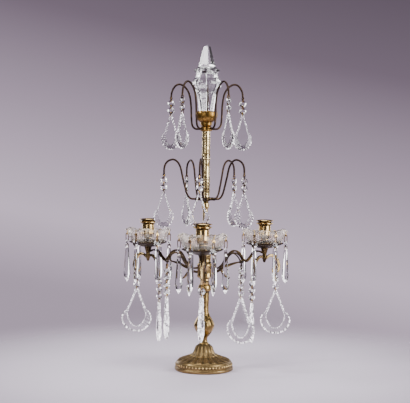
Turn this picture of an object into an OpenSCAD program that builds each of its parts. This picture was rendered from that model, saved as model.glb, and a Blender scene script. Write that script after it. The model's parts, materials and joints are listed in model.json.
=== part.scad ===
// Girandole candle holder: a cast foot and turned stem, three scrolled candle arms,
// two crowns of wire crooks, and cut-glass drops that hang from every hook.
// Millimetres, +Z up, origin at the middle of the foot's underside, front arm along -Y.

/* [Stem] */
// Height of the cast foot
foot_h = 51; // [47:1:58]
// Radius of the foot's rim
foot_r = 58.5; // [52:0.5:66]
// Length of the turned stem above the foot
stem_h = 120; // [112:1:132]
// Widest radius of the stem's pear-shaped knop
knop_r = 18.5; // [15:0.5:20]
// Length of the hub that carries the arms
hub_h = 66; // [62:1:74]
// Length of the slender tube between the hub and the middle crown
lower_tube_h = 100; // [94:1:116]
// Length of the ringed tube between the two crowns
upper_tube_h = 131; // [124:1:150]
// Height of the glass finial above its cup
finial_h = 133; // [118:1:150]

/* [Candle arms] */
// Distance from the stem's axis to each candle
arm_reach = 139; // [134:1:150]
// Diameter of the candle that a nozzle takes
candle_d = 21; // [19:0.5:22]
// Rim radius of the glass drip bowls
bowl_r = 47; // [44:0.5:50]
// Depth of the glass drip bowls
bowl_h = 33; // [30:1:36]
// Height that a nozzle stands above the bowl's floor
nozzle_h = 50; // [47:1:56]
// Number of prisms round each bowl
prisms_per_bowl = 6; // [6]

/* [Crowns] */
// Radius at which the top crown's drops hang
top_reach = 76; // [72:1:82]
// Radius at which the middle crown's drops hang
mid_reach = 84; // [80:1:88]
// Radius of the crook wire
wire_r = 2; // [1.6:0.1:2.2]

/* [Drops] */
// Width of the octagon beads, flat to flat
bead_d = 13; // [12:0.5:15]
// Length of the prisms round the bowls
prism_l = 74; // [62:1:78]
// Height of the plaques on the two crowns
plaque_h = 72; // [62:1:76]
// Height of the large plaques under the arms
big_plaque_h = 92; // [80:1:96]
// Length of the daggers
dagger_l = 86; // [74:1:92]
// Distance that a wire link spans, hole to hole
link_l = 6.5; // [6.5:0.5:7.5]

/* [Hidden] */
arm_names = ["front", "right", "left"];
crooks = 5;

$fn = 48;
arm_az = [0, 120, 240];
arch_az = [60, 180, 300];
top_az = [for (k = [0 : crooks - 1]) 36 + 72 * k];
mid_az = [for (k = [0 : crooks - 1]) -6 + 72 * k];
mid_yaw = [90, 0, 0, 0, 0];
hook_yaw = [90, -30, 30];

// Fits and small stock
fit = 0.15;
rod_r = 3;
rod_bore = rod_r + fit;
nut_r = 11;
sheet = 1.2;
glass = 3;
link_w = 0.8;
link_in = 2.4;
hole_r = 1.2;
hole_in = 2.6;
eye_r = 2.9;
eye_t = 2.4;
post_r = 1.5;

// Heights along the stem
stem_z = foot_h;
hub_z = stem_z + stem_h;
lower_z = hub_z + hub_h;
crown_h = 8;
mid_z = lower_z + lower_tube_h;
upper_z = mid_z + crown_h;
top_z = upper_z + upper_tube_h;
top_hub_h = 9;
cup_z = top_z + top_hub_h;
cup_h = 30;
glass_z = cup_z + 14;
rod_top = cup_z + 8;
arm_z = hub_z + 23;
arch_z = hub_z + 33;

// Candle stack at each arm's end
boss_top = arm_z + 46;
saucer_r = bowl_r - 8;
bowl_z = boss_top + sheet;
nozzle_z = bowl_z + glass;
nozzle_top = nozzle_z + nozzle_h;
candle_r = candle_d / 2;
insert_r = candle_r + 1;
socket_r = insert_r + fit;
nozzle_r = socket_r + 0.9;
spigot_r = 4;
spigot_l = 15;
insert_depth = 27;
insert_lip = 4;

// Hooks: radius and height of every eye that a drop hangs from
top_eye = [top_reach, top_z + 67];
mid_eye = [mid_reach, mid_z + 51];
arch_eye = [84, arch_z + 8];
hook_eye = [arm_reach + 28, arm_z - 9];
tip_eye = [arm_reach - 29, arm_z - 16];
rim_t = 2.6;
pin_in = 3.5;
pin_r = 0.9;
pin_l = rim_t + 5;
pin_link = 14;
function prism_turn(k) = 30 + 360 / prisms_per_bowl * k;

brass = [0.68, 0.53, 0.26];
dark_wire = [0.2, 0.14, 0.11];
crystal = [0.86, 0.89, 0.92, 0.45];

// Turns a piece built along +X to an azimuth counted from the front
module radial(az) { rotate([0, 0, az - 90]) children(); }

// Points of a smooth curve through p, with k steps from one point to the next
function curve_at(a, b, c, d, t) =
    0.5 * (2 * b + (c - a) * t + (2 * a - 5 * b + 4 * c - d) * t * t + (3 * b - a - 3 * c + d) * t * t * t);
function curve(p, k) = concat(
    [for (i = [0 : len(p) - 2], j = [0 : k - 1])
        curve_at(p[max(i - 1, 0)], p[i], p[i + 1], p[min(i + 2, len(p) - 1)], j / k)],
    [p[len(p) - 1]]);
function unit(v) = v / norm(v);

// A bar bent along a curve in the XZ plane: thick in the plane, wide across it, each [start, middle, end]
function spread(s, v) = s < 0.5 ? v[0] + (v[1] - v[0]) * 2 * s : v[1] + (v[2] - v[1]) * (2 * s - 1);
module bent_bar(path, thick, wide, sides) {
    n = len(path);
    points = [for (i = [0 : n - 1])
        let (t = unit(path[min(i + 1, n - 1)] - path[max(i - 1, 0)]), s = i / (n - 1))
        for (j = [0 : sides - 1])
            let (a = 360 * j / sides, u = spread(s, thick) * cos(a), v = spread(s, wide) * sin(a))
            [path[i][0] - t[1] * u, v, path[i][1] + t[0] * u]];
    walls = [for (i = [0 : n - 2], j = [0 : sides - 1])
        let (a = i * sides + j, b = i * sides + (j + 1) % sides)
        each [[a, b, b + sides], [a, b + sides, a + sides]]];
    caps = [[for (j = [sides - 1 : -1 : 0]) j], [for (j = [0 : sides - 1]) (n - 1) * sides + j]];
    polyhedron(points, concat(walls, caps));
}
module wire(p, k = 2, r = wire_r) { bent_bar(curve(p, k), [r, r, r], [r, r, r], 6); }

// A small drilled eye at the end of a hook
module eye_disc(yaw) { rotate([90, 0, yaw]) cylinder(h = eye_t, r = eye_r, center = true); }
module eye_bore(yaw) { rotate([90, 0, yaw]) cylinder(h = 4 * eye_t, r = hole_r, center = true); }

// Cut glass: a girdle outline with a smaller table on each side, bevelled between the two
module cut_glass(outline, table, girdle, thick) {
    n = len(outline);
    points = concat(
        [for (p = table) [p[0], -thick / 2, p[1]]], [for (p = outline) [p[0], -girdle / 2, p[1]]],
        [for (p = outline) [p[0], girdle / 2, p[1]]], [for (p = table) [p[0], thick / 2, p[1]]]);
    walls = [for (l = [0 : 2], i = [0 : n - 1])
        let (a = l * n + i, b = l * n + (i + 1) % n)
        each [[a, b, b + n], [a, b + n, a + n]]];
    caps = [[for (i = [n - 1 : -1 : 0]) i], [for (i = [0 : n - 1]) 3 * n + i]];
    polyhedron(points, concat(walls, caps));
}
module drilled(at) {
    difference() {
        children();
        for (z = at) translate([0, 0, z]) rotate([90, 0, 0])
            cylinder(h = 20, r = hole_r, center = true, $fn = 24);
    }
}

// Flat wire link that stands across the drop's plane, from a hole at the origin to one link length below
module link(l = link_l) {
    out = link_in + link_w;
    translate([-link_w / 2, 0, 0]) rotate([90, 0, 90]) linear_extrude(link_w) difference() {
        union() {
            translate([0, link_w / 2 - out]) circle(out);
            translate([0, out - link_w / 2 - l]) circle(out);
            translate([-out, out - link_w / 2 - l]) square([2 * out, l + link_w - 2 * out]);
        }
        translate([0, -link_w / 2 - link_in]) circle(link_in);
        translate([0, link_w / 2 + link_in - l]) circle(link_in);
        translate([-link_in, link_w / 2 + link_in - l]) square([2 * link_in, l - link_w - 2 * link_in]);
    }
}

// Octagon bead with its upper hole at the origin
bead_step = bead_d - 2 * hole_in;
module bead() {
    ring = [for (k = [0 : 7]) let (a = 22.5 + 45 * k) [cos(a), sin(a)] * bead_d / 2 / cos(22.5)];
    low = [0, hole_in - bead_d / 2];
    drilled([0, -bead_step])
        cut_glass([for (p = ring) p + low], [for (p = ring) p * 0.38 + low], 1.8, 5);
}

// Plaque outline with a cusped edge, its hole at the origin: a tapered neck over a round foot,
// w half width, h height, s from 0 at the top to 1 at the foot
cusps = 20;
plaque_pts = 2 * cusps;
function round_foot(s) = sqrt(max(0, 1 - pow((s - 0.69) / (s < 0.69 ? 0.27 : 0.31), 2)));
function plaque_x(s) = max(s < 0.6 ? 0.1 + 1.1 * s : 0, round_foot(s));
function plaque_edge(w, h, cut) = [for (i = [0 : plaque_pts - 1])
    let (a = 360 * i / plaque_pts, s = (1 - cos(a)) / 2, f = i % 2 == 0 ? 0 : cut)
    let (x = w * plaque_x(s) * sign(sin(a)))
    [-x * (1 - f / w), hole_in - s * h + (s > 0.69 ? f : 0)]];

// Flat face inside the bevel: a smaller pear that carries the neck's lines on down
pear_top = 9;
function pear_x(s) = min(0.02 + 1.1 * s, s > 0.5 ? 0.6 * sqrt(max(0, 1 - pow((s - 0.5) / 0.36, 2))) : 0.6);
function pear_edge(w, h) = [for (i = [0 : plaque_pts - 1])
    let (a = 360 * i / plaque_pts, t = pear_top / h, s = t + (1 - cos(a)) / 2 * (0.86 - t))
    [-w * pear_x(s) * sign(sin(a)), hole_in - s * h]];
module plaque(w, h) drilled([0]) cut_glass(plaque_edge(w, h, 1.3), pear_edge(w, h), 2, 5.6);

// Long drops, hole at the origin: half widths down the length, then a point
function spear(l, w) = concat(
    [for (p = w) [-p[0], hole_in - p[1] * l]], [[0, hole_in - l]],
    [for (i = [len(w) - 1 : -1 : 0]) [w[i][0], hole_in - w[i][1] * l]]);
module long_drop(l, w, thick) {
    mid = hole_in - l / 2;
    outline = spear(l, w);
    drilled([0]) cut_glass(outline, [for (p = outline) [p[0] * 0.3, mid + (p[1] - mid) * 0.68]], 2, thick);
}
module prism_glass() { long_drop(prism_l, [[2.2, 0], [3.6, 0.05], [4.2, 0.12], [6, 0.88]], 7); }
module dagger_glass() {
    long_drop(dagger_l, [[2.2, 0], [3.6, 0.06], [5.4, 0.3], [7.4, 0.55], [8.5, 0.7], [7.2, 0.86],
        [3.6, 0.97]], 9);
}

// A string of beads on links, hung from the origin, with one drop on its last link
module drop_string(beads, first = link_l) {
    link(first);
    for (k = [0 : 1 : beads - 1]) translate([0, 0, -first - k * (bead_step + link_l)]) {
        bead();
        translate([0, 0, -bead_step]) link();
    }
    translate([0, 0, -first - beads * (bead_step + link_l)]) children();
}

module foot() {
    wall = 4;
    color(brass) difference() {
        rotate_extrude() polygon([
            [0, 0], [foot_r - 1.5, 0], [foot_r, 2], [foot_r, 5], [foot_r - 1.5, 7], [foot_r - 2.5, 8],
            [foot_r - 2.5, 15], [foot_r - 4, 19], [foot_r - 8, 20.5], [foot_r - 20, 23.5], [28, 26.5],
            [23, 29.5], [20, 35], [18.5, foot_h - 11], [17.5, foot_h - 3], [15, foot_h], [0, foot_h]]);
        translate([0, 0, -1]) cylinder(h = 17, r = foot_r - 2.5 - wall);
        translate([0, 0, -1]) cylinder(h = 24, r = nut_r + 1);
        cylinder(h = 3 * foot_h, r = rod_bore, center = true);
    }
}
module foot_nut() {
    color(brass) translate([0, 0, 21]) difference() {
        cylinder(h = 2, r = nut_r);
        cylinder(h = 9, r = rod_bore, center = true);
    }
    color(brass) translate([0, 0, 15]) difference() {
        cylinder(h = 6, r = 6.4, $fn = 6);
        cylinder(h = 20, r = rod_bore, center = true);
    }
}
module tie_rod() { color(brass) translate([0, 0, 12]) cylinder(h = rod_top - 12, r = rod_r); }
module on_rod(z, h) {
    color(brass) difference() {
        translate([0, 0, z]) rotate_extrude() children();
        translate([0, 0, z - 1]) cylinder(h = h + 2, r = rod_bore);
    }
}
module stem() {
    on_rod(stem_z, stem_h) polygon([
        [0, 0], [10, 0], [8.5, 2.5], [7, 5], [6.5, 9], [7.6, 14], [11.5, 20], [knop_r - 2.5, 28],
        [knop_r - 0.4, 34], [knop_r, 38], [knop_r - 0.6, 42], [knop_r - 4, 50], [10.8, 57], [8.4, 63],
        [7.4, 69], [7.6, 77], [8.6, 88], [9.2, stem_h - 17], [10.4, stem_h - 15], [12.4, stem_h - 13], [13, stem_h - 8], [12, stem_h - 3],
        [9, stem_h], [0, stem_h]]);
}
module arm_hub() {
    difference() {
        on_rod(hub_z, hub_h) polygon([
            [0, 0], [9, 0], [9, 10], [11, 12], [14.5, 14], [15.5, 16], [15.5, 38], [14.5, 41], [11.5, 44],
            [9, 49], [7.5, 54], [6.5, hub_h - 6], [7.5, hub_h - 4], [7.5, hub_h], [0, hub_h]]);
        for (az = arm_az) radial(az) translate([5, 0, arm_z]) rotate([0, 90, 0])
            cylinder(h = 20, r = 3.2 + fit);
        for (az = arch_az, s = [-1, 1]) radial(az) translate([6, 3 * s, arch_z])
            rotate([0, 90, 0]) cylinder(h = 20, r = wire_r + fit);
    }
}
module lower_tube() {
    on_rod(lower_z, lower_tube_h) polygon([
        [0, 0], [6.2, 0], [6.2, 3], [4.8, 5], [4.8, lower_tube_h - 16], [6.8, lower_tube_h - 14],
        [7.2, lower_tube_h - 8], [6, lower_tube_h - 3], [6, lower_tube_h], [0, lower_tube_h]]);
}
module mid_crown_hub() {
    difference() {
        union() {
            on_rod(mid_z, crown_h) polygon([[0, 0], [8.4, 0], [9.4, 1.5], [9.4, 6.5], [8.4, crown_h],
                [0, crown_h]]);
            for (az = mid_az) color(brass) radial(az) translate([7.5, 0, mid_z + crown_h / 2])
                rotate([0, 90, 0]) cylinder(h = 13, r = wire_r + 1.4);
        }
        for (az = mid_az) radial(az) translate([6.5, 0, mid_z + crown_h / 2])
            rotate([0, 90, 0]) cylinder(h = 20, r = wire_r + fit);
    }
}
module upper_tube() {
    rings = [5, 11, 17, 23, 29, 35, 75, 82, 115];
    on_rod(upper_z, upper_tube_h) union() {
        square([6.8, upper_tube_h]);
        for (z = rings) translate([0, z]) square([7.6, 2.2]);
    }
}
module finial_cup() {
    top = top_hub_h + cup_h;
    color(brass) difference() {
        translate([0, 0, top_z]) rotate_extrude() polygon([
            [0, 0], [9, 0], [12, 2], [12, 7], [9.6, top_hub_h], [9.6, top_hub_h + 1.5], [11, top_hub_h + 3],
            [11.6, top_hub_h + 8], [11.2, top_hub_h + 10], [14, top_hub_h + 11.5], [18.5, top_hub_h + 14],
            [21, top_hub_h + 17], [22.3, top_hub_h + 21], [22.5, top_hub_h + 28],
            [21.5, top], [19.5, top], [18.5, top - 4], [15, top - 12], [11.5, top - 16], [0, top - 16]]);
        translate([0, 0, top_z - 1]) cylinder(h = rod_top - top_z + 1 + fit, r = rod_bore);
        for (az = top_az) radial(az) translate([6.5, 0, top_z + top_hub_h / 2])
            rotate([0, 90, 0]) cylinder(h = 20, r = wire_r + fit);
    }
}
module finial_glass() {
    h = finial_h;
    color(crystal) translate([0, 0, glass_z]) {
        rotate_extrude($fn = 8) polygon([
            [0, 0], [9.5, 0], [9.5, 4], [9.2, 16], [10.5, 30], [14.5, 52], [25.5, 64], [28.5, 69],
            [28.5, 74], [26, 78],
            [20, 84], [18, 91], [21, 95], [21, 101], [17, 105], [16, 108], [0, 108]]);
        translate([0, 0, 95.5]) linear_extrude(5) polygon([for (k = [0 : 15])
            let (a = 22.5 * k) [cos(a), sin(a)] * (k % 2 == 0 ? 25 : 21)]);
        translate([0, 0, 108]) rotate_extrude($fn = 4) polygon([
            [0, 0], [15.6, 0], [7, h + 12 - 108], [0, h + 16 - 108]]);
    }
}
module arch_scrolls() {
    e = arch_eye;
    bar_z = e[1] + 7;
    for (az = arch_az) radial(az) color(brass) difference() {
        union() {
            for (s = [-1, 1]) translate([0, 3 * s, 0]) wire([
                [8, arch_z], [16, arch_z], [25, arch_z - 0.5], [34, arch_z + 2], [43, arch_z + 10],
                [52, arch_z + 24],
                [64, arch_z + 32], [75, arch_z + 29], [e[0] - 1, arch_z + 20], [e[0], bar_z]]);
            translate([e[0], 0, bar_z]) rotate([90, 0, 0]) cylinder(h = 8, r = 2.3, center = true);
            translate([e[0], 0, e[1] + 1.6]) cylinder(h = 4, r = post_r);
            translate([e[0], 0, e[1]]) eye_disc(0);
        }
        translate([e[0], 0, e[1]]) eye_bore(0);
    }
}
module crook(eye, z0, path, yaw) {
    color(dark_wire) difference() {
        union() {
            wire(concat([[7.5, z0]], path, [[eye[0], eye[1] + 2]]));
            translate([eye[0], 0, eye[1]]) eye_disc(yaw);
        }
        translate([eye[0], 0, eye[1]]) eye_bore(yaw);
    }
}
module mid_crooks() {
    z = mid_z + crown_h / 2;
    e = mid_eye;
    for (k = [0 : crooks - 1]) radial(mid_az[k]) crook(e, z, [
        [20, z], [30, z + 1], [37, z + 9], [42, z + 25], [47, z + 45], [51, z + 62], [57, z + 73],
        [66, z + 78],
        [e[0] - 7, z + 74], [e[0] - 1, e[1] + 17]], mid_yaw[k]);
}
module top_crooks() {
    z = top_z + top_hub_h / 2;
    e = top_eye;
    for (az = top_az) radial(az) crook(e, z, [
        [16, z], [24, z + 1], [30, z + 8], [32, z + 24], [33, z + 48], [37, z + 70], [46, z + 84],
        [57, z + 90],
        [e[0] - 9, z + 87], [e[0] - 2, e[1] + 14]], 0);
}
module candle_arm(az, yaw) {
    r = arm_reach;
    e = hook_eye;
    b = tip_eye;
    color(brass) radial(az) difference() {
        union() {
            translate([6, 0, arm_z]) rotate([0, 90, 0]) cylinder(h = 10, r = 3.2);
            bent_bar(curve([
                [14, arm_z], [26, arm_z + 1], [38, arm_z + 7], [47, arm_z + 22], [57, arm_z + 37],
                [68, arm_z + 42],
                [79, arm_z + 37], [87, arm_z + 25], [r - 44, arm_z + 20], [r - 35, arm_z + 27],
                [r - 26, arm_z + 37],
                [r - 15, arm_z + 40], [r - 4, arm_z + 36]], 2), [2.8, 2.8, 2.4], [2.8, 3, 2.4], 6);
            bent_bar(curve([
                [r - 3, arm_z + 27], [r - 11, arm_z + 28], [r - 19, arm_z + 20], [r - 25, arm_z + 5],
                [b[0], b[1] + 4]], 2), [2.6, 2.4, 1.4], [2.6, 2.6, 1.5], 6);
            bent_bar(curve([
                [r + 4, arm_z + 25], [r + 13, arm_z + 29], [r + 22, arm_z + 25], [r + 29, arm_z + 14],
                [r + 31, arm_z + 3], [e[0], e[1] + 4], [e[0] - 6, e[1] + 4.5], [e[0] - 8, e[1] + 10]], 2),
                [2.4, 2, 1], [2.4, 2.4, 1.2], 6);
            translate([e[0], 0, e[1]]) eye_disc(yaw);
            translate([b[0], 0, b[1]]) eye_disc(0);
            translate([b[0], 0, b[1] + 1.6]) cylinder(h = 3, r = post_r);
            translate([r, 0, arm_z + 16]) rotate_extrude() polygon([
                [0, 0], [2, 0.5], [4, 3], [5, 6], [7.5, 9], [8, 12], [6, 15.5], [5.4, 18], [7, 21.5],
                [10, 25], [11.5, 28],
                [11.5, 30], [0, 30]]);
        }
        translate([e[0], 0, e[1]]) eye_bore(yaw);
        translate([b[0], 0, b[1]]) eye_bore(0);
        translate([r, 0, boss_top - spigot_l]) cylinder(h = spigot_l + 1, r = spigot_r + fit);
    }
}
module drip_saucers() {
    for (az = arm_az) radial(az) translate([arm_reach, 0, boss_top]) color(brass) difference() {
        rotate_extrude() polygon([
            [0, 0], [13, 0], [saucer_r - 6, 6.5], [saucer_r, 9.5], [saucer_r, 9.5 + sheet],
            [saucer_r - 6, 6.5 + sheet], [13, sheet], [0, sheet]]);
        cylinder(h = 20, r = spigot_r + fit, center = true);
    }
}
module drip_bowls() {
    r = bowl_r;
    h = bowl_h;
    for (az = arm_az) radial(az) translate([arm_reach, 0, bowl_z]) color(crystal) difference() {
        rotate_extrude() polygon([
            [0, 0], [13, 0], [r - 24, 5], [r - 13, 13], [r - 9, 22], [r - 8, h - 5], [r - 6, h - rim_t],
            [r, h - rim_t],
            [r, h], [r - 8, h], [r - 11, h - 4], [r - 12, 22], [r - 16, 15], [r - 26, 8], [12, glass],
            [0, glass]]);
        cylinder(h = 20, r = spigot_r + fit, center = true);
        at_prisms() translate([0, 0, h - 6]) cylinder(h = 10, r = hole_r);
        for (k = [0 : 2 * prisms_per_bowl - 1]) rotate([0, 0, prism_turn(0) / 2 + 180 / prisms_per_bowl * k])
            translate([r + 1.5, 0, h - 8]) cylinder(h = 10, r = 3);
    }
}
// Places its children at each hole of a bowl's rim
module at_prisms() {
    for (k = [0 : prisms_per_bowl - 1]) rotate([0, 0, prism_turn(k)]) translate([bowl_r - pin_in, 0, 0])
        children();
}
module bowl_pins() {
    for (az = arm_az) radial(az) translate([arm_reach, 0, bowl_z + bowl_h]) color(brass) at_prisms()
        difference() {
        union() {
            cylinder(h = 1, r = 2.1);
            translate([0, 0, -pin_l + 1.6]) cylinder(h = pin_l, r = pin_r);
            translate([0, 0, -pin_l]) eye_disc(90);
        }
        translate([0, 0, -pin_l]) eye_bore(90);
        translate([0, 0, 1]) cylinder(h = 5, r = 3);
    }
}
module candle_nozzles() {
    for (az = arm_az) radial(az) translate([arm_reach, 0, nozzle_z]) color(brass) difference() {
        union() {
            translate([0, 0, -spigot_l]) cylinder(h = spigot_l + 1, r = spigot_r);
            rotate_extrude() polygon([
                [0, 0], [9.5, 0], [9.5, 2], [7, 5], [6, 8], [7.5, 12], [11, 17], [nozzle_r, 22],
                [nozzle_r, nozzle_h - 5],
                [nozzle_r + 3.5, nozzle_h - 3.5], [17.2, nozzle_h - 2.5], [17.2, nozzle_h], [0, nozzle_h]]);
        }
        translate([0, 0, nozzle_h - insert_depth - fit]) cylinder(h = insert_depth + 2, r = socket_r);
    }
}
module nozzle_insert(az) {
    radial(az) translate([arm_reach, 0, nozzle_top + fit]) color(brass) difference() {
        rotate_extrude() polygon([
            [0, -insert_depth], [insert_r, -insert_depth], [insert_r, 0], [17.6, 0], [18, 1], [17.2, 1.8],
            [insert_r + 2, 2.4], [insert_r + 1, insert_lip], [0, insert_lip]]);
        translate([0, 0, 2 - insert_depth]) cylinder(h = insert_depth + insert_lip, r = candle_r);
    }
}
module prism(az, k) {
    radial(az) translate([arm_reach, 0, bowl_z + bowl_h - pin_l]) rotate([0, 0, prism_turn(k)])
        translate([bowl_r - pin_in, 0, 0]) rotate([0, 0, 90])
        color(crystal) drop_string(1, pin_link) prism_glass();
}
module hung(az, eye, yaw) { radial(az) translate([eye[0],
    0, eye[1]]) rotate([0, 0, yaw]) color(crystal) children(); }
module crown_plaque() { plaque(20.5, plaque_h); }
module big_plaque() { plaque(29.5, big_plaque_h); }

foot();
foot_nut();
tie_rod();
stem();
arm_hub();
lower_tube();
mid_crown_hub();
upper_tube();
finial_cup();
finial_glass();
arch_scrolls();
mid_crooks();
top_crooks();
drip_saucers();
drip_bowls();
bowl_pins();
candle_nozzles();
for (a = [0 : 2]) {
    s = arm_names[a];
    az = arm_az[a];
    candle_arm(az, hook_yaw[a]);
    nozzle_insert(az);
    for (k = [1 : prisms_per_bowl]) prism(az, k - 1);
}
hung(arch_az[0], arch_eye, 0) drop_string(4) big_plaque();  // arch_drop_1
hung(arch_az[1], arch_eye, 0) drop_string(4) dagger_glass();  // arch_drop_2
hung(arch_az[2], arch_eye, 0) drop_string(4) dagger_glass();  // arch_drop_3
hung(arm_az[0],  // arm_drop_front
    hook_eye, hook_yaw[0]) drop_string(1) dagger_glass();
hung(arm_az[0], tip_eye, 0) drop_string(1) crown_plaque();  // arm_plaque_front
for (a = [1, 2]) {
    s = arm_names[a];
    hung(arm_az[a],
        hook_eye, hook_yaw[a]) drop_string(2) big_plaque();
    hung(arm_az[a],
        tip_eye, 0) drop_string(3) dagger_glass();
}
for (k = [1 : crooks]) {
    hung(top_az[k - 1],
        top_eye, 0) drop_string(2) crown_plaque();
    hung(mid_az[k - 1], mid_eye, mid_yaw[k - 1]) drop_string(2) crown_plaque();
}
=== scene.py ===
import json
import math
import bpy
import numpy as np
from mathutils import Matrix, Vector


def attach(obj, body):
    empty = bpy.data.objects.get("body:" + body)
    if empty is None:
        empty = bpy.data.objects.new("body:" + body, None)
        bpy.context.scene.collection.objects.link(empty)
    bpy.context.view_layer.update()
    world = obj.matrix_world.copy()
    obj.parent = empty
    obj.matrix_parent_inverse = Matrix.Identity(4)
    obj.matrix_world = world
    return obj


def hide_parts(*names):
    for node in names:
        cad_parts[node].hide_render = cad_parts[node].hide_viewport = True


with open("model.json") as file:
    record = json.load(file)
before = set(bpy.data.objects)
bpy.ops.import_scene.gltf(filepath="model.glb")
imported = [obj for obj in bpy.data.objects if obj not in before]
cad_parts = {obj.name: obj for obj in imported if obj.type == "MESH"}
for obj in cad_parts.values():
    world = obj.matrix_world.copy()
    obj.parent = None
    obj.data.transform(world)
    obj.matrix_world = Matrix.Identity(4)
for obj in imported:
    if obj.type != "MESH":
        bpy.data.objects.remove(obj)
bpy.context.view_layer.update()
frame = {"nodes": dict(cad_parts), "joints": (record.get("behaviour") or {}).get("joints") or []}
joints = {j["child"]: j for j in frame["joints"]}
nodes = frame["nodes"]
print("frame loaded:", len(nodes), "nodes,", len(joints), "moving bodies")

mm = 0.001  # every shape below is worked out in millimetres
turn = 2 * np.pi


def circle(count):
    # angles set evenly round a turn
    return np.arange(count) / count * turn


# a part is (points, [polygon index arrays], [which of the piece's materials each array wears])

def gridQuads(rows, cols, closeRows=False):
    # quads between the neighbours of a rows x cols grid; each row is a closed ring, and the rows may close too
    r = np.arange(rows if closeRows else rows - 1)
    i, j = (k.ravel() for k in np.meshgrid(r, np.arange(cols), indexing="ij"))
    i2, j2 = (i + 1) % rows, (j + 1) % cols
    return np.stack([i * cols + j, i * cols + j2, i2 * cols + j2, i2 * cols + j], 1)


def outward(points, polygons, wears=None):
    # the sum of (a x b) . c over a fan of each polygon is six times the volume: if negative, the faces turn round
    volume = 0.0
    for p in polygons:
        for k in range(1, p.shape[1] - 1):
            a, b, c = points[p[:, 0]], points[p[:, k]], points[p[:, k + 1]]
            volume += np.einsum("ij,ij->", np.cross(a, b), c)
    wears = wears or [0] * len(polygons)
    return (points, polygons if volume > 0 else [p[:, ::-1] for p in polygons], wears)


def ringStack(rings, twisted=False, bands=None):
    # rings of n points joined one to the next, with a flat face on the first and the last;
    # twisted rings are turned half a step each, so triangles join them;
    # bands gives, between two rings, the materials that its facets wear in turn
    rings = np.asarray(rings, float)
    m, n = rings.shape[:2]
    polygons = [gridQuads(m, n)]
    if twisted:
        a, b, c, d = polygons[0].T
        odd = (a // n) % 2 == 1
        polygons = [np.where(odd[:, None], np.stack([a, b, c], 1), np.stack([a, b, d], 1)),
                    np.where(odd[:, None], np.stack([a, c, d], 1), np.stack([b, c, d], 1))]
    if bands:
        polygons = [polygons[0][k * n:(k + 1) * n][first::len(band)]
                    for k, band in enumerate(bands) for first in range(len(band))]
        bands = [worn for band in bands for worn in band] + [0, 0]
    polygons += [np.arange(n)[None, ::-1], (m - 1) * n + np.arange(n)[None]]
    return outward(rings.reshape(-1, 3), polygons, bands)


def smoothCurve(points, steps):
    # Catmull-Rom: each span is the cubic through its two points with slopes from their neighbours
    p = np.asarray(points, float)
    q = np.vstack([p[:1], p, p[-1:]])
    t = (np.arange(steps) / steps)[None, :, None]
    a, b, c, d = (q[k:len(p) - 1 + k, None] for k in range(4))
    spans = 0.5 * (2 * b + (c - a) * t + (2 * a - 5 * b + 4 * c - d) * t ** 2 + (3 * b - a - 3 * c + d) * t ** 3)
    return np.vstack([spans.reshape(-1, p.shape[1]), p[-1:]])


def revolve(profile, around, out=0.0, up=0.0, capped=False):
    # profile (r, z) turned about the axis, with each point moved by (out, up): a closed loop,
    # or if capped, a line from end to end with a flat face on both
    profile = np.asarray(profile, float)
    angle = circle(around)
    r, z = (np.repeat(profile[:, k:k + 1], around, 1) + more for k, more in enumerate((out, up)))
    rings = np.stack([r * np.cos(angle), r * np.sin(angle), z], -1)
    return ringStack(rings) if capped else outward(rings.reshape(-1, 3), [gridQuads(len(profile), around, True)])


def sweep(path, thick, wide, across=(0, 1, 0), sides=14, cap=0.8, section=1.0):
    # an oval section carried along a flat path: thick in its plane, wide across it, with both ends rounded off
    path = np.asarray(path, float)
    count = len(path)
    thick, wide = (np.broadcast_to(np.asarray(v, float), (count,)) for v in (thick, wide))
    along = np.gradient(path, axis=0)
    along /= np.linalg.norm(along, axis=1)[:, None]
    across = np.asarray(across, float)
    up = np.cross(along, across)
    lift = np.array([0.94, 0.7, 0.25])  # how wide the rounded rows are
    past = np.array([0.34, 0.72, 0.97])  # and how far past the end they stand
    head = path[0] - along[0] * (past * thick[0] * cap)[::-1, None]
    tail = path[-1] + along[-1] * (past * thick[-1] * cap)[:, None]
    rows = np.vstack([head, path, tail])
    t, w = (np.concatenate([lift[::-1] * v[0], v, lift * v[-1]]) for v in (thick, wide))
    u = np.vstack([np.repeat(up[:1], 3, 0), up, np.repeat(up[-1:], 3, 0)])
    a = circle(sides)
    rings = rows[:, None] + u[:, None] * (t[:, None] * np.cos(a) * section)[..., None] \
        + across * (w[:, None] * np.sin(a) * section)[..., None]
    return ringStack(rings)


def wireLoop(base, out, reach, axis, wire, sides):
    # round wire in a closed loop: its middle lies at reach from the base along out, and axis is square to out
    b = circle(sides)
    points = base + out[:, None] * (reach + wire * np.cos(b))[:, None] + axis * (wire * np.sin(b))[:, None]
    return outward(points.reshape(-1, 3), [gridQuads(len(out), sides, True)])


def spread(values, count):
    # values laid evenly along a path, straight from one to the next
    return np.interp(np.linspace(0, 1, count), np.linspace(0, 1, len(values)), values)


def placed(part, origin, xAxis, yAxis):
    # local x, y, z (z up) to the object's frame
    points, polygons, wears = part
    base = np.stack([np.asarray(xAxis, float), np.asarray(yAxis, float), [0, 0, 1]])
    return outward(points @ base + np.asarray(origin, float), polygons, wears)


def moved(part, by):
    return (part[0] + by,) + part[1:]


def atAzimuth(part, azimuth, r=0.0, height=0.0):
    # a part with x away from the stem and y square to it, turned to an azimuth counted from the front
    a = math.radians(azimuth)
    x, y = (math.sin(a), -math.cos(a), 0), (math.cos(a), math.sin(a), 0)
    return placed(part, np.array(x) * r + [0, 0, height], x, y)


def addObject(name, data):
    made = bpy.data.objects.new(name, data)
    bpy.context.scene.collection.objects.link(made)
    return made


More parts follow.
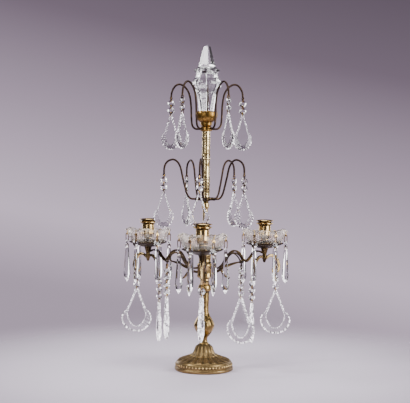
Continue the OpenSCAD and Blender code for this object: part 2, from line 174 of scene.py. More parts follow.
def makePiece(name, parts, materials, replaced=(), body="stand", crease=None, marks=None):
    # crease None leaves every facet flat; a number of degrees smooths all but the sharper edges
    sizes = np.cumsum([0] + [len(part[0]) for part in parts])
    points = np.concatenate([part[0] for part in parts]) * mm
    polygons = [face for start, part in zip(sizes, parts) for f in part[1] for face in (f + start).tolist()]
    worn = np.concatenate([np.full(len(f), w) for part in parts for f, w in zip(part[1], part[2])])
    mesh = bpy.data.meshes.new(name)
    mesh.from_pydata(points, [], polygons)
    mesh.polygons.foreach_set("use_smooth", np.full(len(mesh.polygons), crease is not None))
    if crease is not None:
        mesh.set_sharp_from_angle(angle=math.radians(crease))
    if marks is not None:
        mesh.attributes.new("hollow", "FLOAT", "POINT").data.foreach_set("value", marks.astype(np.float32))
    for material in materials if isinstance(materials, list) else [materials]:
        mesh.materials.append(material)
    mesh.polygons.foreach_set("material_index", worn)
    mesh.update()
    piece = addObject(name, mesh)
    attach(piece, body)
    if replaced:
        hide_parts(*replaced)


class Shade:
    # one output socket of a material's tree; sums and products of sockets add Math nodes
    def __init__(self, tree, socket=None):
        self.tree, self.socket = tree, socket

    def node(self, kind, settings=None, sockets=None, out=0):
        made = self.tree.nodes.new("ShaderNode" + kind)
        for key, value in (settings or {}).items():
            if key == "stops":
                ramp = made.color_ramp.elements
                while len(ramp) < len(value):
                    ramp.new(1.0)
                for stop, (place, colour) in zip(ramp, value):
                    stop.position, stop.color = place, (*colour, 1)
            else:
                setattr(made, key, value)
        for key, value in (sockets or {}).items():
            if isinstance(value, Shade):
                self.tree.links.new(value.socket, made.inputs[key])
            else:
                made.inputs[key].default_value = value
        return Shade(self.tree, made.outputs[out])

    def math(self, operation, *values):
        return self.node("Math", {"operation": operation}, dict(enumerate(values)))

    def __add__(self, other): return self.math("ADD", self, other)
    def __radd__(self, other): return self.math("ADD", other, self)
    def __sub__(self, other): return self.math("SUBTRACT", self, other)
    def __rsub__(self, other): return self.math("SUBTRACT", other, self)
    def __mul__(self, other): return self.math("MULTIPLY", self, other)

    def between(self, low, high):
        # 0 below low, 1 above high, smooth between
        return self.node("MapRange", {"interpolation_type": "SMOOTHSTEP"},
                         {"Value": self, "From Min": low, "From Max": high})

    def mix(self, first, second):
        # this value as the share of the second colour
        first, second = (c if isinstance(c, Shade) else (*c, 1) for c in (first, second))
        return self.node("Mix", {"data_type": "RGBA"}, {0: self, 6: first, 7: second}, out=2)


class Finish:
    # one material: what is the same all over goes on the shader's own sockets, and what varies is fed in later
    def __init__(self, name, **fixed):
        self.material = bpy.data.materials.new(name)
        self.material.use_nodes = True
        self.tree = self.material.node_tree
        self.shader = next(n for n in self.tree.nodes if n.type == "BSDF_PRINCIPLED")
        for key, value in fixed.items():
            self.shader.inputs[key.replace("_", " ")].default_value = value
        self.sheet = Shade(self.tree)
        self.place = self.sheet.node("TexCoord", out=3)

    def noise(self, scale, detail=4.0, rough=0.55):
        settings = {"Vector": self.place, "Scale": scale, "Detail": detail, "Roughness": rough}
        return self.sheet.node("TexNoise", {}, settings)

    def mark(self):
        # the piece's own attribute: dirt in the hollows above 0, edges rubbed bright below 0; on the glass bowls it is
        # the share of the painted glow
        return self.sheet.node("Attribute", {"attribute_name": "hollow"}, out=2)

    def feed(self, **sockets):
        for key, value in sockets.items():
            self.tree.links.new(value.socket, self.shader.inputs[key.replace("_", " ")])

    def bump(self, height, strength, distance):
        settings = {"Height": height, "Strength": strength, "Distance": distance}
        self.feed(Normal=self.sheet.node("Bump", {}, settings))


gilt = {"gilt": (0.66, 0.46, 0.19), "tarnish": (0.3, 0.185, 0.07), "dirt": (0.03, 0.017, 0.008),
        "rubbed": (0.72, 0.52, 0.23), "blotch": 40.0, "speck": 700.0, "clean": 0.46, "stained": 0.76,
        "polish": 0.13, "dull": 0.2, "grain": 0.04, "relief": False, "blotchShare": 0.75, "speckDull": 0.06,
        "dirtUneven": 0.5, "dirtSpan": (0.25, 0.95), "rubbedSpan": (0.05, 0.9), "dirtDull": 0.25,
        "rubbedShine": 0.1, "grainShare": 0.6, "grainDeep": 0.0004}


def brassFinish(name, **changes):
    # bright gilt worn to a browner tarnish in blotches; a piece with marks is nearly black in its hollows
    # and bright where it is rubbed
    look = dict(gilt, **changes)
    made = Finish(name, Metallic=1.0)
    blotch, speck = made.noise(look["blotch"], 6.0, 0.62), made.noise(look["speck"], 3.0)
    share, fine = look["blotchShare"], look["grainShare"]
    tarnish = (blotch * share + speck * (1 - share)).between(look["clean"], look["stained"])
    colour = tarnish.mix(look["gilt"], look["tarnish"])
    rough = look["polish"] + tarnish * look["dull"] + speck * look["speckDull"]
    if look["relief"]:
        mark = made.mark()
        dirt = (mark + (blotch - 0.5) * look["dirtUneven"]).between(*look["dirtSpan"])
        rubbed = (mark * -1.0).between(*look["rubbedSpan"])
        colour = rubbed.mix(dirt.mix(colour, look["dirt"]), look["rubbed"])
        rough = rough + dirt * look["dirtDull"] - rubbed * look["rubbedShine"]
    made.feed(Base_Color=colour, Roughness=rough)
    made.bump(speck * fine + blotch * (1 - fine), look["grain"], look["grainDeep"])
    return made.material


castGilt = {"gilt": (0.3, 0.2, 0.085), "tarnish": (0.06, 0.038, 0.02), "clean": 0.36, "stained": 0.6, "relief": True,
            "grain": 0.25, "polish": 0.16}
brass = brassFinish("polished_gilt", relief=True)
castBrass = brassFinish("cast_gilt", **castGilt)
stemBrass = brassFinish("stem_gilt", gilt=(0.44, 0.29, 0.105), tarnish=(0.11, 0.068, 0.026), clean=0.42, stained=0.62,
                        polish=0.14, relief=True)
footBrass = brassFinish("foot_gilt", **dict(
    castGilt, gilt=(0.29, 0.195, 0.085), tarnish=(0.135, 0.088, 0.038), clean=0.42, stained=0.66,
    dirt=(0.075, 0.05, 0.022), polish=0.3, blotch=45.0, speck=420.0, grain=0.5))
saucerBrass = brassFinish("saucer_bronze", gilt=(0.042, 0.024, 0.01), tarnish=(0.014, 0.009, 0.006), polish=0.36)
cupBrass = brassFinish("cup_gilt", gilt=(0.44, 0.25, 0.065), tarnish=(0.2, 0.11, 0.03), clean=0.4, stained=0.7,
                       polish=0.25, relief=True)
archBrass = brassFinish("arch_bronze", **dict(castGilt, gilt=(0.075, 0.048, 0.025), tarnish=(0.03, 0.02, 0.012),
                                              relief=False))
linkBrass = brassFinish("link_bronze", gilt=(0.45, 0.26, 0.08), tarnish=(0.1, 0.06, 0.025), clean=0.4, stained=0.6)
tubeBrass = brassFinish("tube_gilt", gilt=(0.95, 0.75, 0.4), tarnish=(0.2, 0.13, 0.05), clean=0.46, stained=0.58,
                        blotch=110.0, polish=0.17, grain=0.16, relief=True)


def darkWireFinish(name, look):
    # brown-black skin with a few rubbed bronze streaks
    made = Finish(name, Metallic=1.0)
    blotch, speck = made.noise(look["blotch"], 5.0), made.noise(look["speck"], 2.0)
    share = look["blotchShare"]
    rubbed = (blotch * share + speck * (1 - share)).between(*look["rubbedSpan"])
    rough = look["dull"] - rubbed * look["rubbedShine"] + speck * look["speckDull"]
    made.feed(Base_Color=rubbed.mix(look["skin"], look["rubbed"]), Roughness=rough)
    made.bump(speck, look["grain"], look["grainDeep"])
    return made.material


wireLook = {"skin": (0.05, 0.031, 0.024), "rubbed": (0.21, 0.125, 0.058), "blotch": 90.0, "speck": 900.0,
            "blotchShare": 0.7, "rubbedSpan": (0.5, 0.74), "dull": 0.46, "rubbedShine": 0.16, "speckDull": 0.08,
            "grain": 0.2, "grainDeep": 0.0003}
darkWire = darkWireFinish("dark_wire", wireLook)

clearGlass = {"through": 1.0, "ior": 1.6, "clear": (0.985, 0.988, 0.992), "dusty": (0.94, 0.935, 0.93),
              "smear": 55.0, "wave": 120.0, "polish": 0.0, "dull": 0.05, "dustSpan": (0.5, 0.72), "ripple": 0.05,
              "rippleDeep": 0.0006, "glint": 0.0, "glintSpan": (0.52, 0.42), "shine": (1.0, 0.94, 1.0),
              "rimmed": False}


def crystalFinish(name, **changes):
    # clear lead glass: faint smudges dull the polish and the cut faces are slightly wavy; fine cuts get painted
    # highlights, an emission in spots that stands in for lamps flashing in the facets
    look = dict(clearGlass, **changes)
    made = Finish(name, Transmission_Weight=look["through"], IOR=look["ior"], Emission_Strength=look["glint"])
    smear, wave = made.noise(look["smear"], 4.0), made.noise(look["wave"], 1.0)
    # these patches are faint smudges on clear glass, but painted dark flecks of refracted shade on the white cut edges
    dust = smear.between(*look["dustSpan"])
    made.feed(Base_Color=dust.mix(look["clear"], look["dusty"]), Roughness=look["polish"] + dust * look["dull"])
    # painted highlights: where the noise is low the glass glows in spots, standing in for lamps flashing in the facets
    if look["glint"]:
        shine = smear.between(*look["glintSpan"])
        if look["rimmed"]:
            shine = made.mark() * shine
        made.feed(Emission_Color=shine.mix((0.0, 0.0, 0.0), look["shine"]))
    made.bump(wave, look["ripple"], look["rippleDeep"])
    return made.material


crystal = crystalFinish("cut_crystal")
# painted highlight: mostly white diffuse glass with painted sparkle, standing in for the white flashes of the lamps in
# the cut edges
cutEdge = crystalFinish("cut_edge", through=0.35, clear=(1.0, 1.0, 1.0), dusty=(0.42, 0.38, 0.42), smear=330.0,
                        polish=0.04, dull=0.1, ripple=0.12, glint=2.4)
# painted glow: an emission over the bowls, strongest on the petals, standing in for light caught in the pressed glass
bowlCrystal = crystalFinish("pressed_glass", through=0.93, ior=1.17, clear=(1.0, 0.975, 0.945), dusty=(0.8, 0.69, 0.6),
                            smear=120.0, polish=0.03, glint=0.38, shine=(1.0, 0.88, 0.79), rimmed=True)
# painted dark reflection: near-black glass facets standing in for the dark room seen refracted in the cuts
shadeCut = crystalFinish("shaded_cut", clear=(0.1, 0.09, 0.1), dusty=(0.35, 0.32, 0.35), smear=330.0)


def steelFinish(name, look):
    # dull drawn steel with rust freckles
    made = Finish(name, Metallic=1.0)
    freckle = made.noise(look["freckle"], 4.0).between(*look["rustSpan"])
    made.feed(Base_Color=freckle.mix(look["bare"], look["rust"]), Roughness=look["dull"] + freckle * look["rustDull"])
    made.bump(freckle, look["grain"], look["grainDeep"])
    return made.material


steelLook = {"bare": (0.32, 0.31, 0.3), "rust": (0.12, 0.06, 0.03), "freckle": 400.0, "rustSpan": (0.55, 0.7),
             "dull": 0.38, "rustDull": 0.3, "grain": 0.2, "grainDeep": 0.0003}
steel = steelFinish("dull_steel", steelLook)

nodeFinish = {"tie_rod": steel, "foot_nut": steel}
for name, obj in nodes.items():
    obj.data.materials.clear()
    obj.data.materials.append(nodeFinish.get(name, brass))
print("materials made")


# cuts name the finish of one facet after the other: 0 clear, 1 painted white highlight, 2 painted dark reflection
glassCut = {"beadWide": 13.0, "beadThick": 5.0, "girdle": 1.8, "table": 0.5, "holeIn": 2.6, "link": 6.5,
            "longLink": 14.0, "linkWire": 0.9, "linkHalf": 2.6, "linkAround": 16, "wireAround": 5,
            "beadCuts": [(1, 0, 2, 0, 0, 2, 0, 0), (0,), (0, 2, 0, 0, 1, 0, 2, 0)],
            "spearCuts": (1, 0, 1, 1, 0, 1, 0, 0, 1, 2, 1)}
beadStep = glassCut["beadWide"] - 2 * glassCut["holeIn"]


def beadGlass(cut=glassCut):
    # octagon with a smaller table on each face, turned half a step from it; the upper hole is at the origin
    step = math.pi / 8
    a = (np.arange(8) + 0.5) / 8 * turn
    edge = cut["beadWide"] / 2 / math.cos(step)
    half, rim, table = cut["beadThick"] / 2, cut["girdle"] / 2, edge * cut["table"]

    def ring(size, shift, y):
        z = np.sin(a + shift) * size - cut["beadWide"] / 2 + cut["holeIn"]
        return np.stack([np.cos(a + shift) * size, np.full(8, y), z], 1)

    rings = [ring(table, -step, -half), ring(edge, 0, -rim), ring(edge, 0, rim), ring(table, step, half)]
    # the facets are clear or take painted white highlights and painted dark reflections in turn
    return ringStack(rings, bands=cut["beadCuts"])


def linkWire(length, cut=glassCut):
    # a closed loop of thin wire, round at both ends, standing across the drop
    r, w = cut["linkHalf"], cut["linkWire"]
    a = circle(cut["linkAround"])
    z = r * np.cos(a) + np.where(np.cos(a) > 0, -r + w, -length + r - w)
    path = np.stack([0 * a, r * np.sin(a), z], 1)
    out = np.stack([0 * a, np.sin(a), np.cos(a)], 1)
    return wireLoop(path[:, None], out, 0.0, np.array([1.0, 0, 0]), w, cut["wireAround"])


plaqueCut = {"foot": 0.69, "over": 0.27, "under": 0.31, "neck": 0.1, "neckTo": 0.6, "flare": 1.1, "thick": 5.6,
             "girdle": 1.6, "pitch": 6.0, "pear": 0.6, "pearTop": 9.0, "pearFoot": 0.86, "pearNeck": -0.05,
             "pearRound": 0.36, "inBand": 0.07, "inLimit": 0.4, "inDrop": 0.4, "outBand": 0.11, "outLimit": 0.45,
             "outHigh": 0.62, "rope": 1.5, "inRope": 0.4, "outRope": 0.5, "points": 400,
             "plainCuts": (1, 0, 1, 2, 1, 0, 1, 0, 1, 0, 1, 2, 0, 2), "ropeCuts": (1, 1, 1, 0, 1, 1, 0, 1, 1, 2)}


def evenly(side, pitch=None, count=None):
    # one side and its mirror image as a closed outline; its points are set evenly along it, two to each pitch
    loop = np.vstack([side, side[::-1] * [-1, 1], side[:1]])
    walked = np.concatenate([[0], np.cumsum(np.linalg.norm(np.diff(loop, axis=0), axis=1))])
    count = count or 2 * round(walked[-1] / pitch)
    at = np.arange(count) / count * walked[-1]
    return np.stack([np.interp(at, walked, loop[:, k]) for k in (0, 1)], 1)


def ellipse(x):
    # height of a quarter circle over x from 0 to 1
    return np.sqrt(np.clip(1 - x ** 2, 0, 1))


def plaqueOutlines(half, height, cut=plaqueCut):
    # the edge is a tapered neck or a round foot, whichever is wider;
    # inside it a smaller pear carries the neck's lines on down
    s = (1 - np.cos(np.linspace(0, np.pi, cut["points"]))) / 2
    top = glassCut["holeIn"]
    foot = ellipse((s - cut["foot"]) / np.where(s < cut["foot"], cut["over"], cut["under"]))
    neck = np.where(s < cut["neckTo"], cut["neck"] + cut["flare"] * s, 0)
    edge = evenly(np.stack([half * np.maximum(neck, foot), top - s * height], 1), pitch=cut["pitch"])
    at = cut["pearTop"] / height + s * (cut["pearFoot"] - cut["pearTop"] / height)
    past = np.clip(at - cut["pearFoot"] + cut["pearRound"], 0, None)
    bottom = cut["pear"] * ellipse(past / cut["pearRound"])
    pear = np.clip(np.minimum(cut["pearNeck"] + cut["flare"] * at, bottom), 0, None)
    inner = evenly(np.stack([half * pear, top - at * height], 1), count=len(edge))
    return edge, inner


def plaqueGlass(half, height, roped, cut=plaqueCut):
    # a clear pear within a wide bevel, with a rope of small cuts along the outer edge;
    # on a roped plaque a narrower rope runs round the pear
    edge, table = plaqueOutlines(half, height)
    odd = (np.arange(len(edge)) % 2)[:, None]
    along = np.roll(edge, -1, 0) - np.roll(edge, 1, 0)
    rope = cut["rope"] * np.stack([along[:, 1], -along[:, 0]], 1) / np.linalg.norm(along, axis=1)[:, None]
    reach = np.linalg.norm(table - edge, axis=1)[:, None] + 0.01
    inner = table + (edge - table) * np.clip(cut["inBand"] * half / reach, 0, cut["inLimit"])
    outer = edge + (table - edge) * np.clip(cut["outBand"] * half / reach, 0, cut["outLimit"])
    deep, rim = cut["thick"] / 2, cut["girdle"] / 2
    rows = [(table, deep), (inner + rope * cut["inRope"] * odd, deep - cut["inDrop"]),
            (outer + rope * cut["outRope"] * (1 - odd), deep * cut["outHigh"]), (edge + rope * odd, rim)]

    def ring(flat, y):
        return np.stack([flat[:, 0], np.full(len(flat), y), flat[:, 1]], 1)

    rings = [ring(flat, -y) for flat, y in rows] + [ring(flat, y) for flat, y in rows[::-1]]
    # the rope's facets take painted white highlights, clear glass and painted dark reflections in turn
    sparkle = cut["ropeCuts"] if roped else cut["plainCuts"]
    return ringStack(rings, bands=[(roped, 0), (0,), sparkle, (1, 0), sparkle, (0,), (roped, 0)])


def spearGlass(length, stations, thick, sides, cut=glassCut):
    # sections down the length, each turned half a step from the one above, drawn in to a point
    s = np.array(stations, float)
    a = circle(sides)
    shift = np.where(np.arange(len(s)) % 2 == 0, 0, math.pi / sides)[:, None]
    x = s[:, 1:2] * np.cos(a + shift)
    y = s[:, 1:2] / s[:, 1].max() * thick / 2 * np.sin(a + shift)
    z = np.repeat(cut["holeIn"] - s[:, :1] * length, sides, 1)
    points, polygons, _ = ringStack(np.stack([x, y, z], -1), twisted=True)
    # the facets take painted white highlights, clear glass and a painted dark reflection in turn
    cuts = cut["spearCuts"]
    facets = [p[first::len(cuts)] for p in polygons[:2] for first in range(len(cuts))]
    return points, facets + polygons[2:], list(cuts) * 2 + [0, 0]


# each station: how far down the length, then half the width there
daggerStations = [[0, 2.2], [0.06, 3.3], [0.16, 3.9], [0.28, 4.5], [0.4, 5.1], [0.51, 5.7], [0.61, 6.2], [0.7, 6.5],
                  [0.79, 6.3], [0.87, 5.6], [0.94, 4.3], [0.985, 2.2], [1.0, 0.6]]

# each station: how far down the length, then half the width and half the depth; the corners are shares of them
prismCut = {"stations": [[0, 1.8, 2.0], [0.045, 3.2, 2.8], [0.1, 3.6, 3.0], [0.78, 7.0, 3.6], [0.89, 4.9, 2.6],
                         [1.0, 0.3, 0.3]],
            "across": [1.0, 0.42, -0.42, -1.0, -0.42, 0.42], "deep": [0.0, 1.0, 1.0, 0.0, -1.0, -1.0],
            "cuts": [(1,), (0,), (0,), (0,), (1,)]}


def prismGlass(length, cut=prismCut):
    # a flat bar that widens downwards, hexagonal across, with a narrow neck and a bevelled point
    s = np.array(cut["stations"])
    x, y = s[:, 1:2] * np.array(cut["across"]), s[:, 2:] * np.array(cut["deep"])
    z = np.repeat(glassCut["holeIn"] - s[:, :1] * length, x.shape[1], 1)
    # the neck and the point take painted white highlights, the rest is clear
    return ringStack(np.stack([x, y, z], -1), bands=cut["cuts"])


drops = {"plaque": plaqueGlass(20.5, 72.0, 0), "bigPlaque": plaqueGlass(32.0, 92.0, 1),
         "dagger": spearGlass(86.0, daggerStations, 8.0, 8), "prism": prismGlass(74.0)}
# how many beads, and the drop under them
strings = {"prism_": (1, "prism"), "top_drop_": (2, "plaque"), "mid_drop_": (2, "plaque"),
           "arm_plaque_front": (1, "plaque"), "arm_plaque_": (2, "bigPlaque"), "arm_drop_front": (1, "dagger"),
           "arm_drop_": (3, "dagger"), "arch_drop_1": (4, "bigPlaque"), "arch_drop_": (4, "dagger")}


def hangString(body, beads, drop):
    # beads and drop one under the other from the body's hinge, flat across its axis; prisms are turned a quarter
    pin = np.array(joints[body]["pos_m"]) / mm
    axis = np.array(joints[body]["axis"])
    side = np.cross(axis, (0, 0, 1))
    link = glassCut["link"]
    first, flat = (glassCut["longLink"], (axis, -side)) if drop == "prism" else (link, (side, axis))
    pitch = beadStep + link

    def at(part, down, facing=(side, axis)):
        return placed(moved(part, [0, 0, -down]), pin, *facing)

    glassParts = [at(beadGlass(), first + k * pitch) for k in range(beads)]
    glassParts.append(at(drops[drop], first + beads * pitch, flat))
    links = [at(linkWire(first), 0)]
    links += [at(linkWire(link), first + k * pitch + beadStep) for k in range(beads)]
    # the glass wears clear crystal, painted white highlights and painted dark reflections
    makePiece(body + "_glass", glassParts, [crystal, cutEdge, shadeCut], [body], body)
    makePiece(body + "_links", links, linkBrass, body=body, crease=60)


for body in joints:
    for start, (beads, drop) in strings.items():
        if body.startswith(start):
            hangString(body, beads, drop)
            break
print("drops hung")


crown = {"wire": 2.0, "wireFrom": 7.5, "eyeRadius": 2.1, "eyeWire": 0.85, "eyeLift": 2.6, "topHub": 480.5,
         "midHub": 341.0, "topEye": (76.0, 543.0), "midEye": (84.0, 388.0), "topAzimuth": 36.0, "midAzimuth": -6.0,
         "crooks": 5}


def eyeRing(centre, radius, wire, axis, around=18, sides=8):
    # a torus of wire whose hole runs along the axis
    a = circle(around)[:, None]
    up = np.array([0, 0, 1.0])
    axis = np.asarray(axis, float)
    out = up * np.cos(a) + np.cross(axis, up) * np.sin(a)
    return wireLoop(np.asarray(centre, float), out, radius, axis, wire, sides)


def inPlane(flat):
    # (r, z) points of a curve as points of the radial plane
    return np.stack([flat[:, 0], np.zeros(len(flat)), flat[:, 1]], 1)


def crookWire(eye, hub, path, yaw, cut=crown):
    # round wire out of the hub, up in a crook and down to the eye that the drop hangs from
    line = inPlane(smoothCurve([(cut["wireFrom"], hub)] + path + [(eye[0], eye[1] + cut["eyeLift"])], 8))
    ring = eyeRing((eye[0], 0, eye[1]), cut["eyeRadius"], cut["eyeWire"], (0, 1, 0) if yaw == 0 else (1, 0, 0))
    return [sweep(line, cut["wire"], cut["wire"], sides=14), ring]


def crownWires(name, start, yaws, eye, hub, path):
    # the crooks are spaced evenly round the stem; yaw 90 turns an eye to face along the radius
    parts = []
    for k, yaw in enumerate(yaws):
        azimuth = start + 360 / crown["crooks"] * k
        parts += [atAzimuth(part, azimuth) for part in crookWire(eye, hub, path, yaw)]
    makePiece(name + "_wires", parts, darkWire, [name], crease=60)


topPath = [(16, 480.5), (24, 481.5), (30, 488.5), (32, 504.5), (33, 528.5), (37, 550.5), (46, 564.5), (57, 570.5),
           (67, 567.5), (74, 557)]
midPath = [(20, 341), (30, 342), (37, 350), (42, 366), (47, 386), (51, 403), (57, 414), (66, 419), (77, 415),
           (83, 405)]
crownWires("top_crooks", crown["topAzimuth"], [0] * crown["crooks"], crown["topEye"], crown["topHub"], topPath)
crownWires("mid_crooks", crown["midAzimuth"], [90, 0, 0, 0, 0], crown["midEye"], crown["midHub"], midPath)
print("crowns bent")


# heights and radii: the bead row's middle and half height, the leaves on the slope, and those on the dome
footShape = {"rim": 58.5, "height": 51.0, "bore": 3.2, "around": 396, "beads": 52, "beadAt": 11.5, "beadHalf": 2.4,
             "beadOut": 1.7, "slope": (50.0, 25.0), "dome": (28.0, 49.0), "leafHigh": 1.0, "slopeOut": 0.25,
             "insideMark": 0.6}
slopeLeaves = {"count": 20, "shift": 0.0, "edge": 0.22, "ribAcross": 3.2, "ribAlong": 7, "veinWide": 0.09,
               "veinHigh": 0.45}
domeLeaves = {"count": 14, "shift": 0.5, "edge": 0.25, "ribAcross": 3, "ribAlong": -5, "veinWide": 0.1,
              "veinHigh": 0.4}


def leafFold(angle, leaves, shift=0.0):
    # 0 on the vein of each leaf round the axis, 1 between two leaves
    return np.abs(((angle * leaves / turn + shift) % 1) * 2 - 1)


def leafRelief(angle, along, wide, leaf):
    # a row of leaves round the axis: each has a rounded blade from its vein out to wide, ribs and a raised vein
    u = leafFold(angle, leaf["count"], leaf["shift"])
    blade = np.clip((wide - u) / leaf["edge"], 0, 1) ** 0.7
    ribs = 0.75 + 0.2 * np.cos((u * leaf["ribAcross"] + along * leaf["ribAlong"]) * np.pi)
    vein = np.exp(-(u / leaf["veinWide"]) ** 2) * leaf["veinHigh"]
    return blade * ribs + vein * blade


def footCasting(cut=footShape):
    # the turned section is carried round the axis; the bead row and the leaves stand out from it
    rim, top, bore = cut["rim"], cut["height"], cut["bore"]
    outer = [(rim - 2.2, 0), (rim - 0.5, 0.8), (rim, 2.4), (rim, 4.4), (rim - 0.8, 6.2), (rim - 2.6, 7.6),
             (rim - 2.8, 8.4), (rim - 2.6, 11.5), (rim - 2.8, 14.6), (rim - 3.4, 15.4), (rim - 5, 18.2),
             (rim - 9, 20.2), (rim - 16, 22.6), (36, 25), (29.5, 27.4), (24.5, 30.2), (21, 33.6), (18.8, 38),
             (17.2, 42.6), (15, 47), (12.6, 49.8), (10.6, top)]
    fine = smoothCurve(outer, 6)
    inside = [(bore, top), (bore, 23.2), (21.5, 23), (22, 16.2), (51.5, 16), (52, 0.4), (53.5, 0)]
    profile = np.vstack([fine, inside])
    r, z = profile[:, :1], profile[:, 1:]
    body = (np.arange(len(profile)) < len(fine))[:, None]
    angle = circle(cut["around"])
    between = np.sin(angle * cut["beads"] / 2) ** 2
    bead = np.sqrt(np.clip(1 - between * 1.25 - ((z - cut["beadAt"]) / cut["beadHalf"]) ** 2, 0, 1)) * body
    far, near = cut["slope"]
    slope = np.clip((far - r) / (far - near), 0, 1)
    # a leaf's half width is an arch along its length less a ripple that lobes its edge
    wide = 0.95 * np.sin(np.clip(slope * 0.72 + 0.2, 0, 1) * np.pi) ** 0.6
    wide = wide - 0.12 * np.abs(np.sin(slope * turn * 2.2))
    slopeLeaf = leafRelief(angle, slope, wide, slopeLeaves)
    slopeLeaf = np.where((r < far + 0.5) & (r > near - 0.5) & body, slopeLeaf, 0)
    low, high = cut["dome"]
    rise = np.clip((z - low) / (high - low), 0, 1)
    wide = 0.92 * np.sqrt(np.clip(1 - rise ** 2.2, 0, 1)) - 0.1 * np.abs(np.sin(rise * turn * 1.6))
    domeLeaf = leafRelief(angle, rise, wide, domeLeaves)
    domeLeaf = np.where((z > low + 0.2) & (z < high + 0.5) & body, domeLeaf, 0)
    beadRow = (z > 8.6) & (z < 14.6)
    leafy = (r < far + 0.5) & (z > 15.7) & body
    edge = beadRow * (0.6 - 1.6 * bead) + leafy * (0.75 - slopeLeaf - domeLeaf)
    up = slopeLeaf * cut["leafHigh"]
    out = bead * cut["beadOut"] + domeLeaf * cut["leafHigh"] + up * cut["slopeOut"]
    makePiece("foot_casting", [revolve(profile, cut["around"], out, up)], footBrass, ["foot"], crease=50,
              marks=np.where(body, np.clip(edge, -1, 1), cut["insideMark"]).ravel())


footCasting()
print("foot cast")


stemShape = {"low": 51.0, "long": 120.0, "bore": 3.2, "around": 144, "leaves": 9, "leafSpan": (15.0, 61.0),
             "relief": 0.35, "collar": 0.8, "collarSpan": (18.0, 13.0)}


def stemTurning(cut=stemShape):
    # turned neck, pear knop and column; leaves climb the pear, each with a vein, and dirt lies under the collar
    h = cut["long"]
    outer = smoothCurve([(10, 0), (9.6, 1.4), (8.2, 3), (7, 5), (6.5, 9), (7.8, 14), (12.5, 20), (17.6, 28), (20, 34),
                         (20.5, 38), (19.8, 42), (15.8, 50), (11.6, 57), (9.4, 63), (8.6, 69), (8.6, 77), (9.2, 88),
                         (9.6, h - 17), (10, h - 15.4), (11.8, h - 13.4), (12.8, h - 10.6), (13, h - 7.6),
                         (12.4, h - 4), (11, h - 1.2), (9, h)], 5)
    profile = np.vstack([outer, [(cut["bore"], h), (cut["bore"], 0)]]) + [0, cut["low"]]
    z = profile[:, 1:] - cut["low"]
    body = (np.arange(len(profile)) < len(outer))[:, None]
    foot, tip = cut["leafSpan"]
    leafy = (z > foot) & (z < tip) & body
    collar = (z > h - cut["collarSpan"][0]) & (z < h - cut["collarSpan"][1])
    s = np.clip((z - foot) / (tip - foot), 0, 1)
    u = leafFold(circle(cut["around"]), cut["leaves"])
    wide = np.sin(np.clip(s * 0.8 + 0.16, 0, 1) * np.pi) ** 0.5
    leaf = np.clip((wide - u) / 0.3, 0, 1) * leafy
    high = leaf * (0.8 + 0.2 * np.cos(u * 3 * np.pi)) + 0.3 * leaf * np.exp(-(u / 0.12) ** 2)
    dirt = np.where((z > foot - 1) & (z < tip + 1), 0.4 - high * 0.4, cut["collar"] * collar)
    part = revolve(profile, cut["around"], (high - 0.45) * cut["relief"] * leafy)
    makePiece("stem_turning", [part], stemBrass, ["stem"], crease=50, marks=(dirt * body).ravel())


stemTurning()
print("stem turned")

armAzimuths = {"front": 0.0, "right": 120.0, "left": 240.0}
hookYaws = {"front": 90.0, "right": -30.0, "left": 30.0}
armShape = {"reach": 139.0, "level": 194.0, "sides": 20, "groove": 0.2, "grooveFrom": 0.86, "apart": 3.2,
            "twinDirt": 0.8, "hook": (167.0, -9.0), "tip": (110.0, -16.0), "eyeRadius": 2.05, "eyeWire": 0.85,
            "eyeMark": 0.1, "bossAt": 16.0, "bossAround": 64, "collarAt": 34.0, "collarHigh": 12.0, "collarOut": 1.1}

# the bars of an arm: a line of (distance from the stem, height over the arm's level), half its thickness and width
# from end to end, and how much its edges are rubbed
armBars = {
    "twin": {"line": [(7, 0), (14, 0), (26, 1), (38, 7), (47, 22), (57, 37), (68, 42), (79, 37), (87, 25), (95, 20),
                      (104, 27), (113, 37), (124, 40), (135, 36)], "rubbed": 0.1,
             "thick": [2.2, 1.9, 1.7, 1.6, 1.7, 1.9, 1.7, 1.6, 1.6],
             "wide": [1.9, 1.7, 1.6, 1.5, 1.6, 1.8, 1.6, 1.5, 1.5]},
    "tendril": {"line": [(136, 27), (128, 28), (120, 20), (114, 5), (110, -12)], "rubbed": 0.3,
                "thick": [2.6, 3.2, 2.8, 1.5], "wide": [2.6, 3.4, 2.8, 1.5]},
    "hook": {"line": [(143, 24), (151, 30), (161, 29), (170, 20), (174, 8), (173, -1), (168, -5.5), (161, -5),
                      (158, 2)], "rubbed": 0.9,
             "thick": [2.4, 3.0, 4.0, 4.2, 3.0, 1.8, 1.1], "wide": [2.6, 3.2, 2.6, 2.0, 1.7, 1.5, 1.2]},
    "leaf": {"line": [(35, 4), (46, 9), (58, 14), (70, 17), (80, 19), (87, 24)], "rubbed": 0.1,
             "thick": [1.4, 2.2, 2.4, 2.0, 1.4, 1.0], "wide": [2.0, 5.2, 6.0, 4.6, 2.4, 1.2]},
    "leafTip": {"line": [(37, 5), (41, -3), (46, -10), (52, -14), (57, -12)], "rubbed": 0.1,
                "thick": [1.6, 2.0, 1.8, 1.0], "wide": [2.2, 4.8, 4.2, 1.0]}}


def bar(shape, cut=armShape):
    # a cast bar along a smooth curve in a radial plane; its section draws in along each flank, where dirt sits
    sides = cut["sides"]
    line = inPlane(smoothCurve(np.array(shape["line"], float) + [0, cut["level"]], 8))
    flank = np.abs(np.sin(circle(sides)))
    deep = np.clip((flank - cut["grooveFrom"]) / (1 - cut["grooveFrom"]), 0, 1)
    thick, wide = (spread(shape[k], len(line)) for k in ("thick", "wide"))
    swept = sweep(line, thick, wide, sides=sides, section=1 - cut["groove"] * deep)
    return swept, np.tile(deep - shape["rubbed"], len(swept[0]) // sides)


